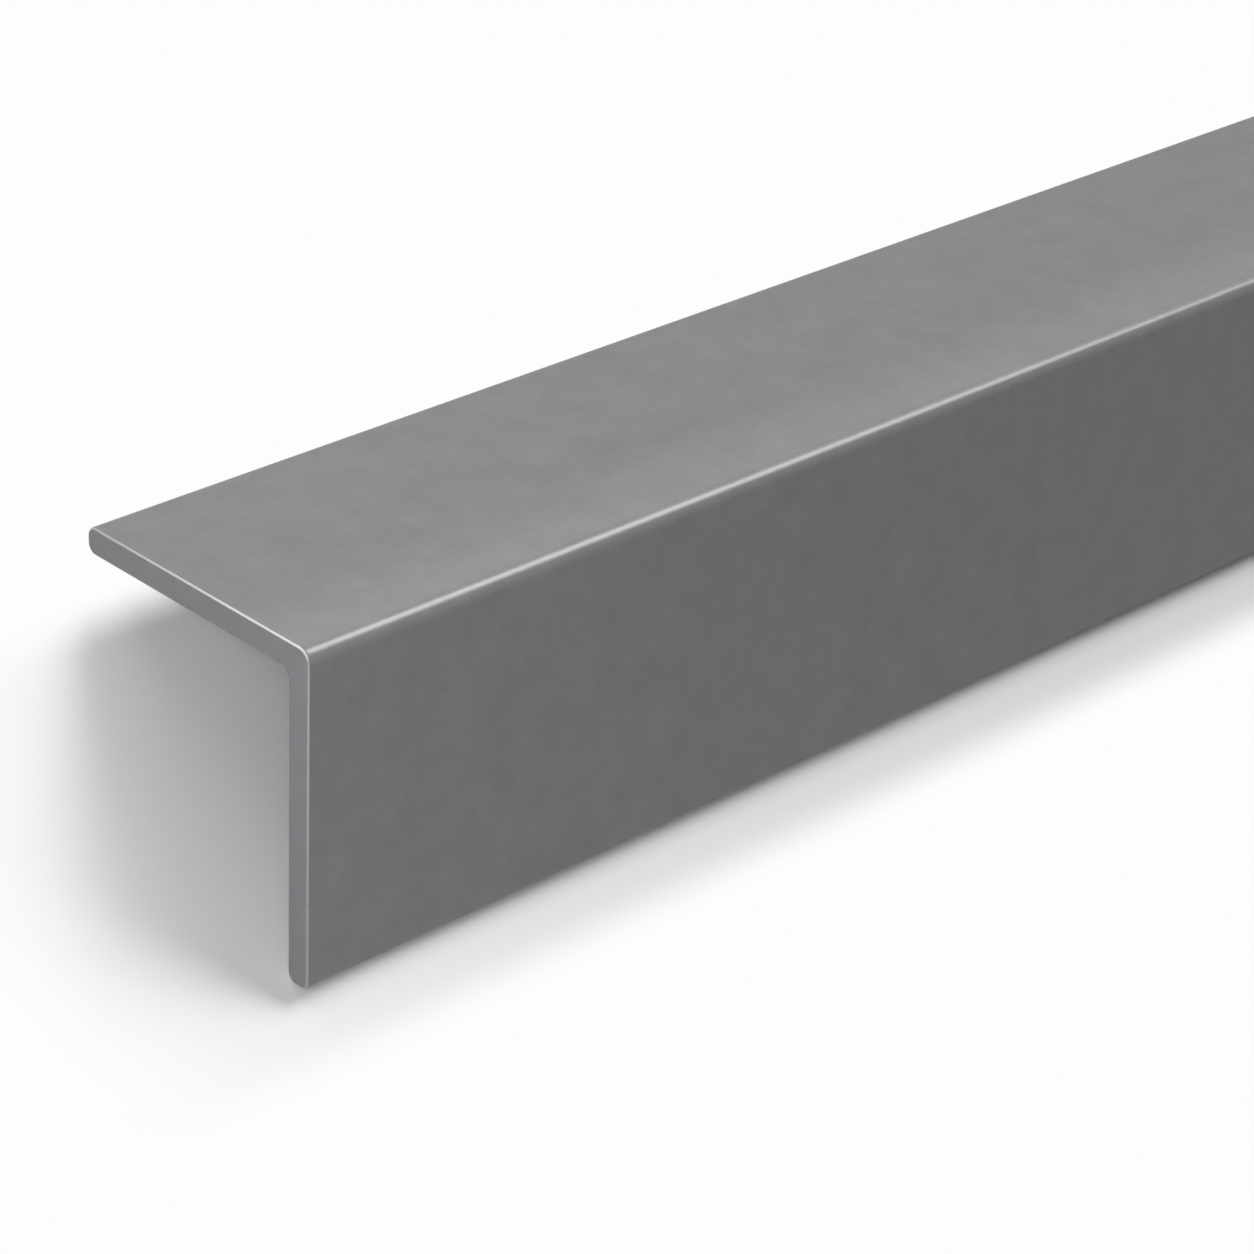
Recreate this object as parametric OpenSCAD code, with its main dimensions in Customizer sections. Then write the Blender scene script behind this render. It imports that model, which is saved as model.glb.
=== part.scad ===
// PVC corner guard
// One length of extruded rigid PVC angle with unequal legs, rounded along its
// outer corner, its inner corner and both free edges, sawn square at the ends
// and lightly eased there. Drawn as it lies unheld: ridge up, both free edges
// on the floor. Millimetres, +Z up, length along X.

/* [Section] */
// Width of the wide leg, outside
wide_leg = 50; // [30:1:100]
// Width of the narrow leg, outside
narrow_leg = 45; // [30:1:100]
// Thickness of both legs
wall = 4; // [3.2:0.1:8]
// Radius along the outer corner
corner_r = 2; // [0.8:0.1:6]
// Radius along the inner corner
inner_r = 1.5; // [0.5:0.1:6]
// Radius of the two rounded corners of each free edge
edge_r = 1.5; // [0.8:0.1:1.9]

/* [Length] */
// Length between the sawn ends
length = 1000; // [200:10:3000]
// Depth of the eased arris round each sawn end
arris = 0.4; // [0.1:0.05:0.6]

/* [Hidden] */
grey = [0.478, 0.482, 0.490];
// Angle the section turns through so that both free edges touch the floor
lean = atan2(wide_leg - wall, narrow_leg - wall);
// Centres of the section's roundings, measured from its sharp outer corner
corner_c = [-corner_r, -corner_r];
inner_c = [-wall - inner_r, -wall - inner_r];
narrow_out_c = [edge_r - narrow_leg, -edge_r];
narrow_in_c = [edge_r - narrow_leg, edge_r - wall];
wide_out_c = [-edge_r, edge_r - wide_leg];
wide_in_c = [edge_r - wall, edge_r - wide_leg];
// Height of the sharp outer corner above the floor once the section has turned
corner_height = edge_r - narrow_in_c.x * sin(lean) - narrow_in_c.y * cos(lean);
// Reach of the turned section to each side of its sharp outer corner
narrow_reach = edge_r - narrow_out_c.x * cos(lean) + narrow_out_c.y * sin(lean);
wide_reach = edge_r + wide_out_c.x * cos(lean) - wide_out_c.y * sin(lean);
// How far a cutter runs on beyond the face that it cuts
overrun = 0.1;

// Flat strip from the outer corner out along -x, its free edge rounded
module leg(width) {
    translate([edge_r - width, -wall]) square([width - edge_r, wall]);
    translate([-width, edge_r - wall]) square([edge_r, wall - 2 * edge_r]);
    for (y = [-edge_r, edge_r - wall])
        translate([edge_r - width, y]) circle(r = edge_r);
}

// What lies between a square corner and its rounding
module spandrel(r) {
    difference() {
        square(r);
        circle(r = r);
    }
}

// The angle in section, its sharp outer corner at the origin
module section() {
    difference() {
        union() {
            leg(narrow_leg);
            mirror([1, -1]) leg(wide_leg);
            translate(inner_c) spandrel(inner_r);
        }
        translate(corner_c) spandrel(corner_r);
    }
}

// Slice taken off the arris: x points out of the surface, y out of the end
module slice() {
    polygon([
        [-arris - overrun, overrun],
        [overrun, -arris - overrun],
        [overrun, overrun]
    ]);
}

// The slice run along a flat face, which lies to its right
module flat_easing(from, to) {
    run = to - from;
    translate(from)
        rotate([0, 0, atan2(run.y, run.x)])
        rotate([90, 0, 90])
        linear_extrude(norm(run)) slice();
}

// The slice run round a quarter turn of a rounding
module round_easing(centre, r, start) {
    translate(centre)
        rotate([0, 0, start])
        rotate_extrude(angle = 90)
        translate([r, 0]) slice();
}

// The slice run round the hollow of the inner corner
module hollow_easing() {
    translate(inner_c)
        rotate_extrude(angle = 90)
        translate([inner_r, 0]) mirror([1, 0]) slice();
}

// The slice run once round the section, clockwise from the narrow leg's outside
module end_easing() {
    flat_easing([narrow_out_c.x, 0], [corner_c.x, 0]);
    round_easing(corner_c, corner_r, 0);
    flat_easing([0, corner_c.y], [0, wide_out_c.y]);
    round_easing(wide_out_c, edge_r, 270);
    flat_easing([wide_out_c.x, -wide_leg], [wide_in_c.x, -wide_leg]);
    round_easing(wide_in_c, edge_r, 180);
    flat_easing([-wall, wide_in_c.y], [-wall, inner_c.y]);
    hollow_easing();
    flat_easing([inner_c.x, -wall], [narrow_in_c.x, -wall]);
    round_easing(narrow_in_c, edge_r, 180);
    flat_easing([-narrow_leg, narrow_in_c.y], [-narrow_leg, narrow_out_c.y]);
    round_easing(narrow_out_c, edge_r, 90);
}

// The whole guard, its wide leg sloping down to -Y
module corner_guard() {
    color(grey)
        translate([0, (wide_reach - narrow_reach) / 2, corner_height])
        rotate([90, 0, -90])
        rotate([0, 0, lean])
        difference() {
            linear_extrude(length, center = true) section();
            for (far_end = [0, 1])
                mirror([0, 0, far_end]) translate([0, 0, length / 2]) end_easing();
        }
}

corner_guard();
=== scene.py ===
"""A grey PVC corner guard, lying ridge up on a pale studio floor."""

import math

import bmesh
import bpy
from mathutils import Matrix, Vector


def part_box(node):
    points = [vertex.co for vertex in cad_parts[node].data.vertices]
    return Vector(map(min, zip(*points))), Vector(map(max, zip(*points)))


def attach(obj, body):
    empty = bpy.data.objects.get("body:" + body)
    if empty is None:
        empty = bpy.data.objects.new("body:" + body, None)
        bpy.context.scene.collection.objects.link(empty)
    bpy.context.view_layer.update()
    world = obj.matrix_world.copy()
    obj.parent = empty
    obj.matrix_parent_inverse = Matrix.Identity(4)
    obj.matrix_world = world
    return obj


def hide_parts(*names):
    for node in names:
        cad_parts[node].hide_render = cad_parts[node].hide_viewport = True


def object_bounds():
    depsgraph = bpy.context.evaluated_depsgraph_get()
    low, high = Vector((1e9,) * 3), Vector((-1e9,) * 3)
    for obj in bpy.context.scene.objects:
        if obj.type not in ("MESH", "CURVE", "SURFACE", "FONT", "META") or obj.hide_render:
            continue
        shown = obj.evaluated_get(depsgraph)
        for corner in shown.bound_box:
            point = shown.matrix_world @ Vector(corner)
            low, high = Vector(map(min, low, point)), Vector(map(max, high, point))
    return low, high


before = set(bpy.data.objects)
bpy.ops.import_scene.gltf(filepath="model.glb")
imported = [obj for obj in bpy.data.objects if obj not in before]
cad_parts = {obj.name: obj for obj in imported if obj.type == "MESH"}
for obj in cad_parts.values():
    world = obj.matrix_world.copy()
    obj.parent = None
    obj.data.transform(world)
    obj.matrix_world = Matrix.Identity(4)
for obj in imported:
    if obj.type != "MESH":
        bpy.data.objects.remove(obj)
cad_low, cad_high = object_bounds()

MM = 0.001

# The guard's section, in metres
WIDE_LEG = 50 * MM
NARROW_LEG = 45 * MM
WALL = 4 * MM
CORNER_R = 2 * MM
INNER_R = 1.5 * MM
EDGE_R = 1.5 * MM
ARRIS = 0.4 * MM

# How finely the roundings are cut, and how far apart the rings along the length are
ROUND_STEPS = 12
ARRIS_STEPS = 4
RING_SPACING = 25 * MM
# Narrow border that keeps each flat face flat to its edge when it is shaded smooth, and the
# ring beside each end that does the same for the roundings
FLAT_BORDER = 0.15 * MM
END_RING = ARRIS + 2 * FLAT_BORDER
# How much of a face's normal runs along the length: less than the first on the skin, more than the
# second on a sawn end, between them on the crest of its eased edge, and more than the third on the
# end's flat alone
SKIN_SLOPE = 0.5
END_SLOPE = 0.9
FLAT_END_SLOPE = 0.99
# Along the whole length, a face wider than this is a flat and not one step of a rounding
FLAT_WIDTH = WALL / 8

# Colours of the plastic, as linear light
GREY_CLOUD_DARK = (0.132, 0.136, 0.143, 1)
GREY_CLOUD_PALE = (0.174, 0.178, 0.185, 1)
# Painted sheen: these paler greys stand in for the light that brightens the narrow leg towards the
# outer corner's highlight
GREY_PAINTED_SHEEN_DARK = (0.172, 0.176, 0.183, 1)
GREY_PAINTED_SHEEN_PALE = (0.220, 0.224, 0.233, 1)
GREY_SAWN_DARK = (0.161, 0.165, 0.173, 1)
GREY_SAWN_PALE = (0.175, 0.179, 0.187, 1)
# Crest greys: partly a scraped paleness, and partly a painted highlight where the crest meets the
# narrow leg's face
GREY_CREST_SCRAPED_AND_HIGHLIGHT = (0.250, 0.254, 0.262, 1)
GREY_CREST_PAINTED_HIGHLIGHT = (0.720, 0.724, 0.732, 1)
# How far from the outer corner the skin is rubbed smooth and painted paler, where that has faded
# out down the wide leg and along the narrow one, and where the paler grey, a painted sheen that
# lightens the narrow leg towards the corner's highlight, has faded out along the narrow leg
RUBBED_AND_SHEEN_REACH = 1.0 * MM
RUBBED_AND_SHEEN_FADE = 2.4 * MM
RUBBED_SMOOTH = 1.5 * MM
PAINTED_SHEEN_FADE = 18 * MM
# The ends' edges carry a painted highlight, palest at the narrow leg's outer face beside the outer
# corner: how far under that face it stays even, where it has faded out, and where it would have
# faded out along the leg
CREST_HIGHLIGHT_REACH = 0.2 * MM
CREST_HIGHLIGHT_FADE = 1.8 * MM
CREST_HIGHLIGHT_ALONG = 75 * MM

# How rough each finish is, as a range that its noise spreads over or as one number
SATIN_ROUGH = (0.47, 0.50)
RUBBED_ROUGH = 0.29
SAWN_ROUGH = (0.48, 0.54)
SCRAPED_ROUGH = (0.26, 0.32)
PVC_IOR = 1.54
# Patches to the metre of each noise, and how deep those that make relief are
CLOUD_SCALE = 140
DIE_LINE_SCALE = 900
GRAIN_SCALE = 2400
SAWN_CLOUD_SCALE = 300
BLADE_SCALE = 2500
SCRAPED_SCALE = 250
DIE_LINE_DEPTH = 0.004 * MM
GRAIN_DEPTH = 0.003 * MM
BLADE_DEPTH = 0.004 * MM
# The die lines are drawn out along the length, and the blade's marks along the wide leg
DIE_LINE_STRETCH = (0.012, 1, 1)
BLADE_STRETCH = (1, 1, 0.04)
# The part of a noise's range that holds nearly all of it
NOISE_LOW = 0.3
NOISE_HIGH = 0.7

# The camera, in the guard's own axes: x along the length from the near end, y towards
# the narrow leg's free edge, z up out of the narrow leg's outer face
CAMERA_PLACE = Vector((-280.9, -336.9, 240.0)) * MM
CAMERA_LOOK = Vector((0.6223, 0.6240, -0.4726))
CAMERA_ROLL = math.radians(-2.68)
CAMERA_LENS = 116.2
CAMERA_SENSOR = 36
CAMERA_CLIP = 10 * MM

# The studio's floor and sky: the light that they give back or send, and how they look
FLOOR_RADIUS = 30
FLOOR_SIDES = 96
FLOOR_GIVES = (0.8, 0.8, 0.8, 1)
FLOOR_LOOKS = (0.97, 0.97, 0.97, 1)
SKY_GIVES = 0.04
SKY_LOOKS = 0.98
# How far past the guard's near end the lit floor starts to pass into the white backdrop, where it
# has done so, and how many times sooner that comes beside the guard. On the shaded side it starts a
# little out from the guard and cuts the shadow short. On the lit side and at the far end it starts
# under the guard, so the backdrop's white paints out part of the guard's shade there
BACKDROP_START = 0.005
BACKDROP_END = 0.055
BACKDROP_SOONER = 7
BACKDROP_OUT = 0.005
BACKDROP_UNDER = 0.016
BACKDROP_FAR = 0.040
# Soft boxes: name, place, aim, width, height and how bright the face looks, 1 being white
SOFT_BOXES = [
    ("back_box", (2.07, 1.40, 2.80), (-0.45, 0, 0.03), 2.5, 1.25, 5.7),
    ("high_back_box", (1.75, 1.45, 2.95), (-0.45, 0, 0.03), 1.6, 1.25, 5.6),
    ("low_back_box", (1.60, 1.95, 2.30), (-0.45, 0, 0.03), 1.0, 1.0, 2.2),
    ("side_strip", (-0.45, 0.50, 0.45), (-0.45, -0.035, 0), 0.6, 0.10, 4.8),
    ("low_strip", (-0.52, 0.35, 0.05), (-0.45, 0, 0.03), 0.5, 0.08, 3.0),
    ("near_box", (-0.72, 0.00, 0.25), (-0.52, -0.01, 0), 0.12, 0.12, 7.5),
    ("front_box", (-0.64, -0.11, 0.03), (-0.50, -0.02, 0.02), 0.10, 0.05, 6.5),
    ("corner_box", (-0.75, -0.33, 0.18), (-0.50, -0.02, 0.02), 0.2, 0.08, 4.5),
    ("far_box", (1.9, -0.2, 0.35), (0.5, 0, 0.03), 0.9, 0.5, 3.0),
]


def lay_down():
    """The move from the guard's own axes to how it lies on the floor."""
    low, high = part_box("corner_guard")
    lean = math.atan2(WIDE_LEG - WALL, NARROW_LEG - WALL)
    sine, cosine = math.sin(lean), math.cos(lean)
    corner_height = EDGE_R + (NARROW_LEG - EDGE_R) * sine + (WALL - EDGE_R) * cosine
    wide_reach = EDGE_R + (WIDE_LEG - EDGE_R) * sine - EDGE_R * cosine
    corner = Vector((low.x, low.y + wide_reach, low.z + corner_height))
    return Matrix.Translation(corner) @ Matrix.Rotation(-lean, 4, "X"), high.x - low.x


def long_edges(bm, corner):
    """The edges that run along the length at one corner of the section."""
    def there(vert):
        return (Vector((vert.co.y, vert.co.z)) - Vector(corner)).length < FLAT_BORDER
    return [edge for edge in bm.edges if there(edge.verts[0]) and there(edge.verts[1])]


def round_over(bm, edges, radius, steps):
    bmesh.ops.bevel(bm, geom=edges, offset=radius, offset_type="OFFSET", affect="EDGES",
                    segments=steps, profile=0.5, material=-1, clamp_overlap=False)


def guard_profile(laid, length):
    """The angle pushed out to its length, with its long corners rounded and its sawn ends eased."""
    outer = (0, 0)
    inner = (WALL, -WALL)
    free_edges = [(0, -WIDE_LEG), (WALL, -WIDE_LEG), (NARROW_LEG, -WALL), (NARROW_LEG, 0)]
    outline = [outer, *free_edges[:2], inner, *free_edges[2:]]

    bm = bmesh.new()
    corners = [bm.verts.new((0, y, z)) for y, z in outline]
    near_end = bm.faces.new(corners)
    pushed = bmesh.ops.extrude_face_region(bm, geom=[near_end], use_keep_orig=True)["geom"]
    far_corners = [part for part in pushed if isinstance(part, bmesh.types.BMVert)]
    bmesh.ops.translate(bm, verts=far_corners, vec=(length, 0, 0))
    bmesh.ops.recalc_face_normals(bm, faces=bm.faces)

    round_over(bm, long_edges(bm, outer), CORNER_R, ROUND_STEPS)
    round_over(bm, long_edges(bm, inner), INNER_R, ROUND_STEPS)
    for free_edge in free_edges:
        round_over(bm, long_edges(bm, free_edge), EDGE_R, ROUND_STEPS)

    rims = [edge for edge in bm.edges if any(is_flat_end(face) for face in edge.link_faces)]
    round_over(bm, rims, ARRIS, ARRIS_STEPS)

    for face in bm.faces:
        face.smooth = True
        face.material_index = end_finish(face)
    strip = length * FLAT_WIDTH
    flats = [face for face in bm.faces if face.calc_area() > strip or is_flat_end(face)]
    bmesh.ops.inset_individual(bm, faces=flats, thickness=FLAT_BORDER, use_even_offset=True)

    rings = round(length / RING_SPACING)
    places = [length * ring / rings for ring in range(1, rings)]
    for place in [END_RING, *places, length - END_RING]:
        everything = [*bm.verts, *bm.edges, *bm.faces]
        bmesh.ops.bisect_plane(bm, geom=everything, plane_co=(place, 0, 0), plane_no=(1, 0, 0))

    bmesh.ops.transform(bm, matrix=laid, verts=bm.verts)
    mesh = bpy.data.meshes.new("corner_guard_profile")
    bm.to_mesh(mesh)
    bm.free()
    return mesh


def is_flat_end(face):
    return abs(face.normal.x) > FLAT_END_SLOPE


def end_finish(face):
    """0 on the skin that left the die, 1 on a sawn end, 2 on the crest between them."""
    # The crest's finish is scraped plastic with a painted highlight
    slope = abs(face.normal.x)
    if slope < SKIN_SLOPE:
        return 0
    return 1 if slope > END_SLOPE else 2


def new_finish(name):
    """A new material of the plastic, with its shader."""
    material = bpy.data.materials.new(name)
    material.use_nodes = True
    nodes = material.node_tree.nodes
    nodes.clear()
    output = nodes.new("ShaderNodeOutputMaterial")
    shader = nodes.new("ShaderNodeBsdfPrincipled")
    shader.inputs["IOR"].default_value = PVC_IOR
    material.node_tree.links.new(shader.outputs["BSDF"], output.inputs["Surface"])
    return material, shader


def own_axes(material, laid):
    """Coordinates on the guard's own axes: x along it, y along the narrow leg, z off its face."""
    tree = material.node_tree
    coordinates = tree.nodes.new("ShaderNodeTexCoord")
    mapping = tree.nodes.new("ShaderNodeMapping")
    stood_up = laid.inverted()
    mapping.inputs["Location"].default_value = stood_up.to_translation()
    mapping.inputs["Rotation"].default_value = stood_up.to_euler()
    tree.links.new(coordinates.outputs["Object"], mapping.inputs["Vector"])
    return mapping.outputs["Vector"]


def noise(material, axes, scale, stretch=(1, 1, 1), detail=3, fineness=0.5):
    """Noise with scale patches to the metre, drawn out along an axis where stretch is under 1.

    Each finer layer, detail in number, is fineness times as strong as the one before it.
    """
    tree = material.node_tree
    mapping = tree.nodes.new("ShaderNodeMapping")
    mapping.inputs["Scale"].default_value = stretch
    tree.links.new(axes, mapping.inputs["Vector"])
    texture = tree.nodes.new("ShaderNodeTexNoise")
    texture.inputs["Scale"].default_value = scale
    texture.inputs["Detail"].default_value = detail
    texture.inputs["Roughness"].default_value = fineness
    tree.links.new(mapping.outputs["Vector"], texture.inputs["Vector"])
    return texture.outputs["Fac"]


def fade_out(material, value, reach, end):
    """1 up to reach, falling smoothly to 0 at end."""
    tree = material.node_tree
    fade = tree.nodes.new("ShaderNodeMapRange")
    fade.interpolation_type = "SMOOTHSTEP"
    fade.inputs["From Min"].default_value = reach
    fade.inputs["From Max"].default_value = end
    fade.inputs["To Min"].default_value = 1
    fade.inputs["To Max"].default_value = 0
    tree.links.new(value, fade.inputs["Value"])
    return fade.outputs["Result"]


def multiply(material, first, second):
    """The product of another node's result and a second result or a number."""
    tree = material.node_tree
    node = tree.nodes.new("ShaderNodeMath")
    node.operation = "MULTIPLY"
    tree.links.new(first, node.inputs[0])
    if isinstance(second, (int, float)):
        node.inputs[1].default_value = second
    else:
        tree.links.new(second, node.inputs[1])
    return node.outputs["Value"]


def across_and_under(material, axes):
    """How far a point lies along the narrow leg, and how far under that leg's outer face."""
    tree = material.node_tree
    split = tree.nodes.new("ShaderNodeSeparateXYZ")
    tree.links.new(axes, split.inputs["Vector"])
    return split.outputs["Y"], multiply(material, split.outputs["Z"], -1)


def corner_band(material, axes, narrow_fade):
    """1 along the outer corner, fading to 0 down the wide leg and at narrow_fade on the other."""
    across, under = across_and_under(material, axes)
    return multiply(material, fade_out(material, across, RUBBED_AND_SHEEN_REACH, narrow_fade),
                    fade_out(material, under, RUBBED_AND_SHEEN_REACH, RUBBED_AND_SHEEN_FADE))


def spread(material, value, low=0, high=1):
    """A noise spread over low to high."""
    tree = material.node_tree
    node = tree.nodes.new("ShaderNodeMapRange")
    node.inputs["From Min"].default_value = NOISE_LOW
    node.inputs["From Max"].default_value = NOISE_HIGH
    node.inputs["To Min"].default_value = low
    node.inputs["To Max"].default_value = high
    tree.links.new(value, node.inputs["Value"])
    return node.outputs["Result"]


def mix_colour(material, amount, first, second):
    """A colour between first and second, each of which is a colour or another node's result."""
    tree = material.node_tree
    node = tree.nodes.new("ShaderNodeMix")
    node.data_type = "RGBA"
    for socket, colour in ((node.inputs["A"], first), (node.inputs["B"], second)):
        if isinstance(colour, tuple):
            socket.default_value = colour
        else:
            tree.links.new(colour, socket)
    tree.links.new(amount, node.inputs["Factor"])
    return node.outputs["Result"]


def mix_value(material, amount, first, second):
    """A number from first, at an amount of 0, to second, at 1; first is another node's result."""
    tree = material.node_tree
    node = tree.nodes.new("ShaderNodeMix")
    node.inputs["B"].default_value = second
    tree.links.new(first, node.inputs["A"])
    tree.links.new(amount, node.inputs["Factor"])
    return node.outputs["Result"]


def bump(material, height, depth, under=None):
    """Relief of a given depth in metres, laid on top of another relief where there is one."""
    tree = material.node_tree
    node = tree.nodes.new("ShaderNodeBump")
    node.inputs["Distance"].default_value = depth
    tree.links.new(height, node.inputs["Height"])
    if under:
        tree.links.new(under, node.inputs["Normal"])
    return node.outputs["Normal"]


def extruded_skin(laid):
    """Satin skin: cloudy grey, faint die lines, a fine grain and the outer corner rubbed smooth."""
    material, shader = new_finish("grey_pvc_skin")
    link = material.node_tree.links.new
    axes = own_axes(material, laid)
    cloud = noise(material, axes, CLOUD_SCALE, detail=7, fineness=0.75)
    die_lines = noise(material, axes, DIE_LINE_SCALE, stretch=DIE_LINE_STRETCH, detail=2)
    grain = noise(material, axes, GRAIN_SCALE, detail=2)
    pale = spread(material, cloud)
    plain_grey = mix_colour(material, pale, GREY_CLOUD_DARK, GREY_CLOUD_PALE)
    # Painted sheen: a paler grey beside the outer corner, fading out along the narrow leg
    painted_sheen_grey = mix_colour(material, pale, GREY_PAINTED_SHEEN_DARK, GREY_PAINTED_SHEEN_PALE)
    painted_sheen = corner_band(material, axes, PAINTED_SHEEN_FADE)
    link(mix_colour(material, painted_sheen, plain_grey, painted_sheen_grey), shader.inputs["Base Color"])
    satin = spread(material, cloud, *SATIN_ROUGH)
    smoothed = corner_band(material, axes, RUBBED_SMOOTH)
    link(mix_value(material, smoothed, satin, RUBBED_ROUGH), shader.inputs["Roughness"])
    relief = bump(material, die_lines, DIE_LINE_DEPTH)
    link(bump(material, grain, GRAIN_DEPTH, relief), shader.inputs["Normal"])
    return material


def sawn_end(laid):
    """Sawn plastic: duller than the skin, with the blade's fine marks across it."""
    material, shader = new_finish("grey_pvc_sawn")
    link = material.node_tree.links.new
    axes = own_axes(material, laid)
    pale = spread(material, noise(material, axes, SAWN_CLOUD_SCALE))
    blade = noise(material, axes, BLADE_SCALE, stretch=BLADE_STRETCH, detail=2)
    link(mix_colour(material, pale, GREY_SAWN_DARK, GREY_SAWN_PALE), shader.inputs["Base Color"])
    link(spread(material, blade, *SAWN_ROUGH), shader.inputs["Roughness"])
    link(bump(material, blade, BLADE_DEPTH), shader.inputs["Normal"])
    return material


def scraped_and_highlit_crest(laid):
    """The crest of the eased edge round a sawn end: scraped, with a painted highlight at the
    corner.
    """
    material, shader = new_finish("grey_pvc_crest")
    link = material.node_tree.links.new
    axes = own_axes(material, laid)
    across, under = across_and_under(material, axes)
    # Painted highlight: palest just under the narrow leg's face, fading out along the leg
    painted_highlight = multiply(material, fade_out(material, under, CREST_HIGHLIGHT_REACH, CREST_HIGHLIGHT_FADE),
                       fade_out(material, across, 0, CREST_HIGHLIGHT_ALONG))
    link(mix_colour(material, painted_highlight, GREY_CREST_SCRAPED_AND_HIGHLIGHT, GREY_CREST_PAINTED_HIGHLIGHT),
         shader.inputs["Base Color"])
    worn = noise(material, axes, SCRAPED_SCALE, detail=2)
    link(spread(material, worn, *SCRAPED_ROUGH), shader.inputs["Roughness"])
    return material


def make_guard(laid, length):
    mesh = guard_profile(laid, length)
    for finish in (extruded_skin, sawn_end, scraped_and_highlit_crest):
        mesh.materials.append(finish(laid))
    guard = bpy.data.objects.new("corner_guard_profile", mesh)
    bpy.context.collection.objects.link(guard)
    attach(guard, "root")
    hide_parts("corner_guard")


def make_camera(laid):
    look = CAMERA_LOOK.normalized()
    right = look.cross(Vector((0, 0, 1))).normalized()
    up = right.cross(look)
    stance = Matrix((right, up, -look)).transposed().to_4x4()
    turned = Matrix.Rotation(CAMERA_ROLL, 4, look) @ stance
    camera = bpy.data.cameras.new("camera")
    camera.sensor_width = CAMERA_SENSOR
    camera.lens = CAMERA_LENS
    camera.clip_start = CAMERA_CLIP
    stand = bpy.data.objects.new("camera", camera)
    stand.matrix_world = laid @ Matrix.Translation(CAMERA_PLACE) @ turned
    bpy.context.collection.objects.link(stand)
    bpy.context.scene.camera = stand


def make_floor():
    bm = bmesh.new()
    bmesh.ops.create_circle(bm, cap_ends=True, segments=FLOOR_SIDES, radius=FLOOR_RADIUS)
    mesh = bpy.data.meshes.new("studio_floor")
    bm.to_mesh(mesh)
    bm.free()
    floor = bpy.data.objects.new("studio_floor", mesh)
    bpy.context.collection.objects.link(floor)
    mesh.materials.append(floor_paper())


def floor_paper():
    """Matt white paper that keeps the guard's shadow near it and passes into a white backdrop."""
    material = bpy.data.materials.new("floor_paper")
    material.use_nodes = True
    tree = material.node_tree
    tree.nodes.clear()
    seen = seen_directly(tree)
    paper = tree.nodes.new("ShaderNodeBsdfDiffuse")
    tree.links.new(mix_colour(material, seen, FLOOR_GIVES, FLOOR_LOOKS), paper.inputs["Color"])
    backdrop = tree.nodes.new("ShaderNodeEmission")
    backdrop.inputs["Strength"].default_value = SKY_LOOKS

    coordinates = tree.nodes.new("ShaderNodeTexCoord")
    away = coordinates.outputs["Object"]
    # The backdrop's white is painted light where it lies over the guard's shadow. Beside the wide
    # leg it cuts the shadow short, and under the narrow leg and at the far end it covers part of
    # the shade
    start_low = cad_low - Vector((0, BACKDROP_OUT, 0))
    start_high = cad_high - Vector((BACKDROP_FAR, BACKDROP_UNDER, 0))
    steps = [("SUBTRACT", (start_low + start_high) / 2), ("ABSOLUTE", None),
             ("SUBTRACT", (start_high - start_low) / 2), ("MAXIMUM", (0, 0, 0)),
             ("MULTIPLY", (1, BACKDROP_SOONER, 1))]
    for operation, amount in steps:
        step = tree.nodes.new("ShaderNodeVectorMath")
        step.operation = operation
        tree.links.new(away, step.inputs[0])
        if amount:
            step.inputs[1].default_value = amount
        away = step.outputs["Vector"]
    distance = tree.nodes.new("ShaderNodeVectorMath")
    distance.operation = "LENGTH"
    tree.links.new(away, distance.inputs[0])
    fade = tree.nodes.new("ShaderNodeMapRange")
    fade.interpolation_type = "SMOOTHSTEP"
    fade.inputs["From Min"].default_value = BACKDROP_START
    fade.inputs["From Max"].default_value = BACKDROP_END
    tree.links.new(distance.outputs["Value"], fade.inputs["Value"])

    mix = tree.nodes.new("ShaderNodeMixShader")
    tree.links.new(multiply(material, fade.outputs["Result"], seen), mix.inputs["Fac"])
    tree.links.new(paper.outputs["BSDF"], mix.inputs[1])
    tree.links.new(backdrop.outputs["Emission"], mix.inputs[2])
    output = tree.nodes.new("ShaderNodeOutputMaterial")
    tree.links.new(mix.outputs["Shader"], output.inputs["Surface"])
    return material


def seen_directly(tree):
    """1 for what is seen, straight or in gloss or glass, and 0 for the light that is given back."""
    path = tree.nodes.new("ShaderNodeLightPath")
    total = path.outputs["Is Camera Ray"]
    for ray in ("Is Glossy Ray", "Is Transmission Ray"):
        add = tree.nodes.new("ShaderNodeMath")
        add.operation = "ADD"
        add.use_clamp = True
        tree.links.new(total, add.inputs[0])
        tree.links.new(path.outputs[ray], add.inputs[1])
        total = add.outputs["Value"]
    return total


def make_sky():
    """Even studio light all round, and a white backdrop where the camera looks past the floor."""
    world = bpy.data.worlds.new("studio")
    world.use_nodes = True
    tree = world.node_tree
    background = tree.nodes["Background"]
    background.inputs["Color"].default_value = (1, 1, 1, 1)
    strength = tree.nodes.new("ShaderNodeMix")
    strength.inputs["A"].default_value = SKY_GIVES
    strength.inputs["B"].default_value = SKY_LOOKS
    tree.links.new(seen_directly(tree), strength.inputs["Factor"])
    tree.links.new(strength.outputs["Result"], background.inputs["Strength"])
    bpy.context.scene.world = world


def make_lamp(name, place, target, width, height, radiance):
    """A soft box that the camera doesn't see; radiance is how bright its face looks."""
    lamp = bpy.data.lights.new(name, "AREA")
    lamp.shape = "RECTANGLE"
    lamp.size = width
    lamp.size_y = height
    lamp.energy = radiance * math.pi * width * height
    stand = bpy.data.objects.new(name, lamp)
    stand.location = place
    stand.rotation_euler = (Vector(target) - Vector(place)).to_track_quat("-Z", "Y").to_euler()
    stand.visible_camera = False
    bpy.context.collection.objects.link(stand)


laid, length = lay_down()
make_guard(laid, length)
make_camera(laid)
make_floor()
make_sky()
for lamp in SOFT_BOXES:
    make_lamp(*lamp)
bpy.context.scene.view_settings.view_transform = "Standard"
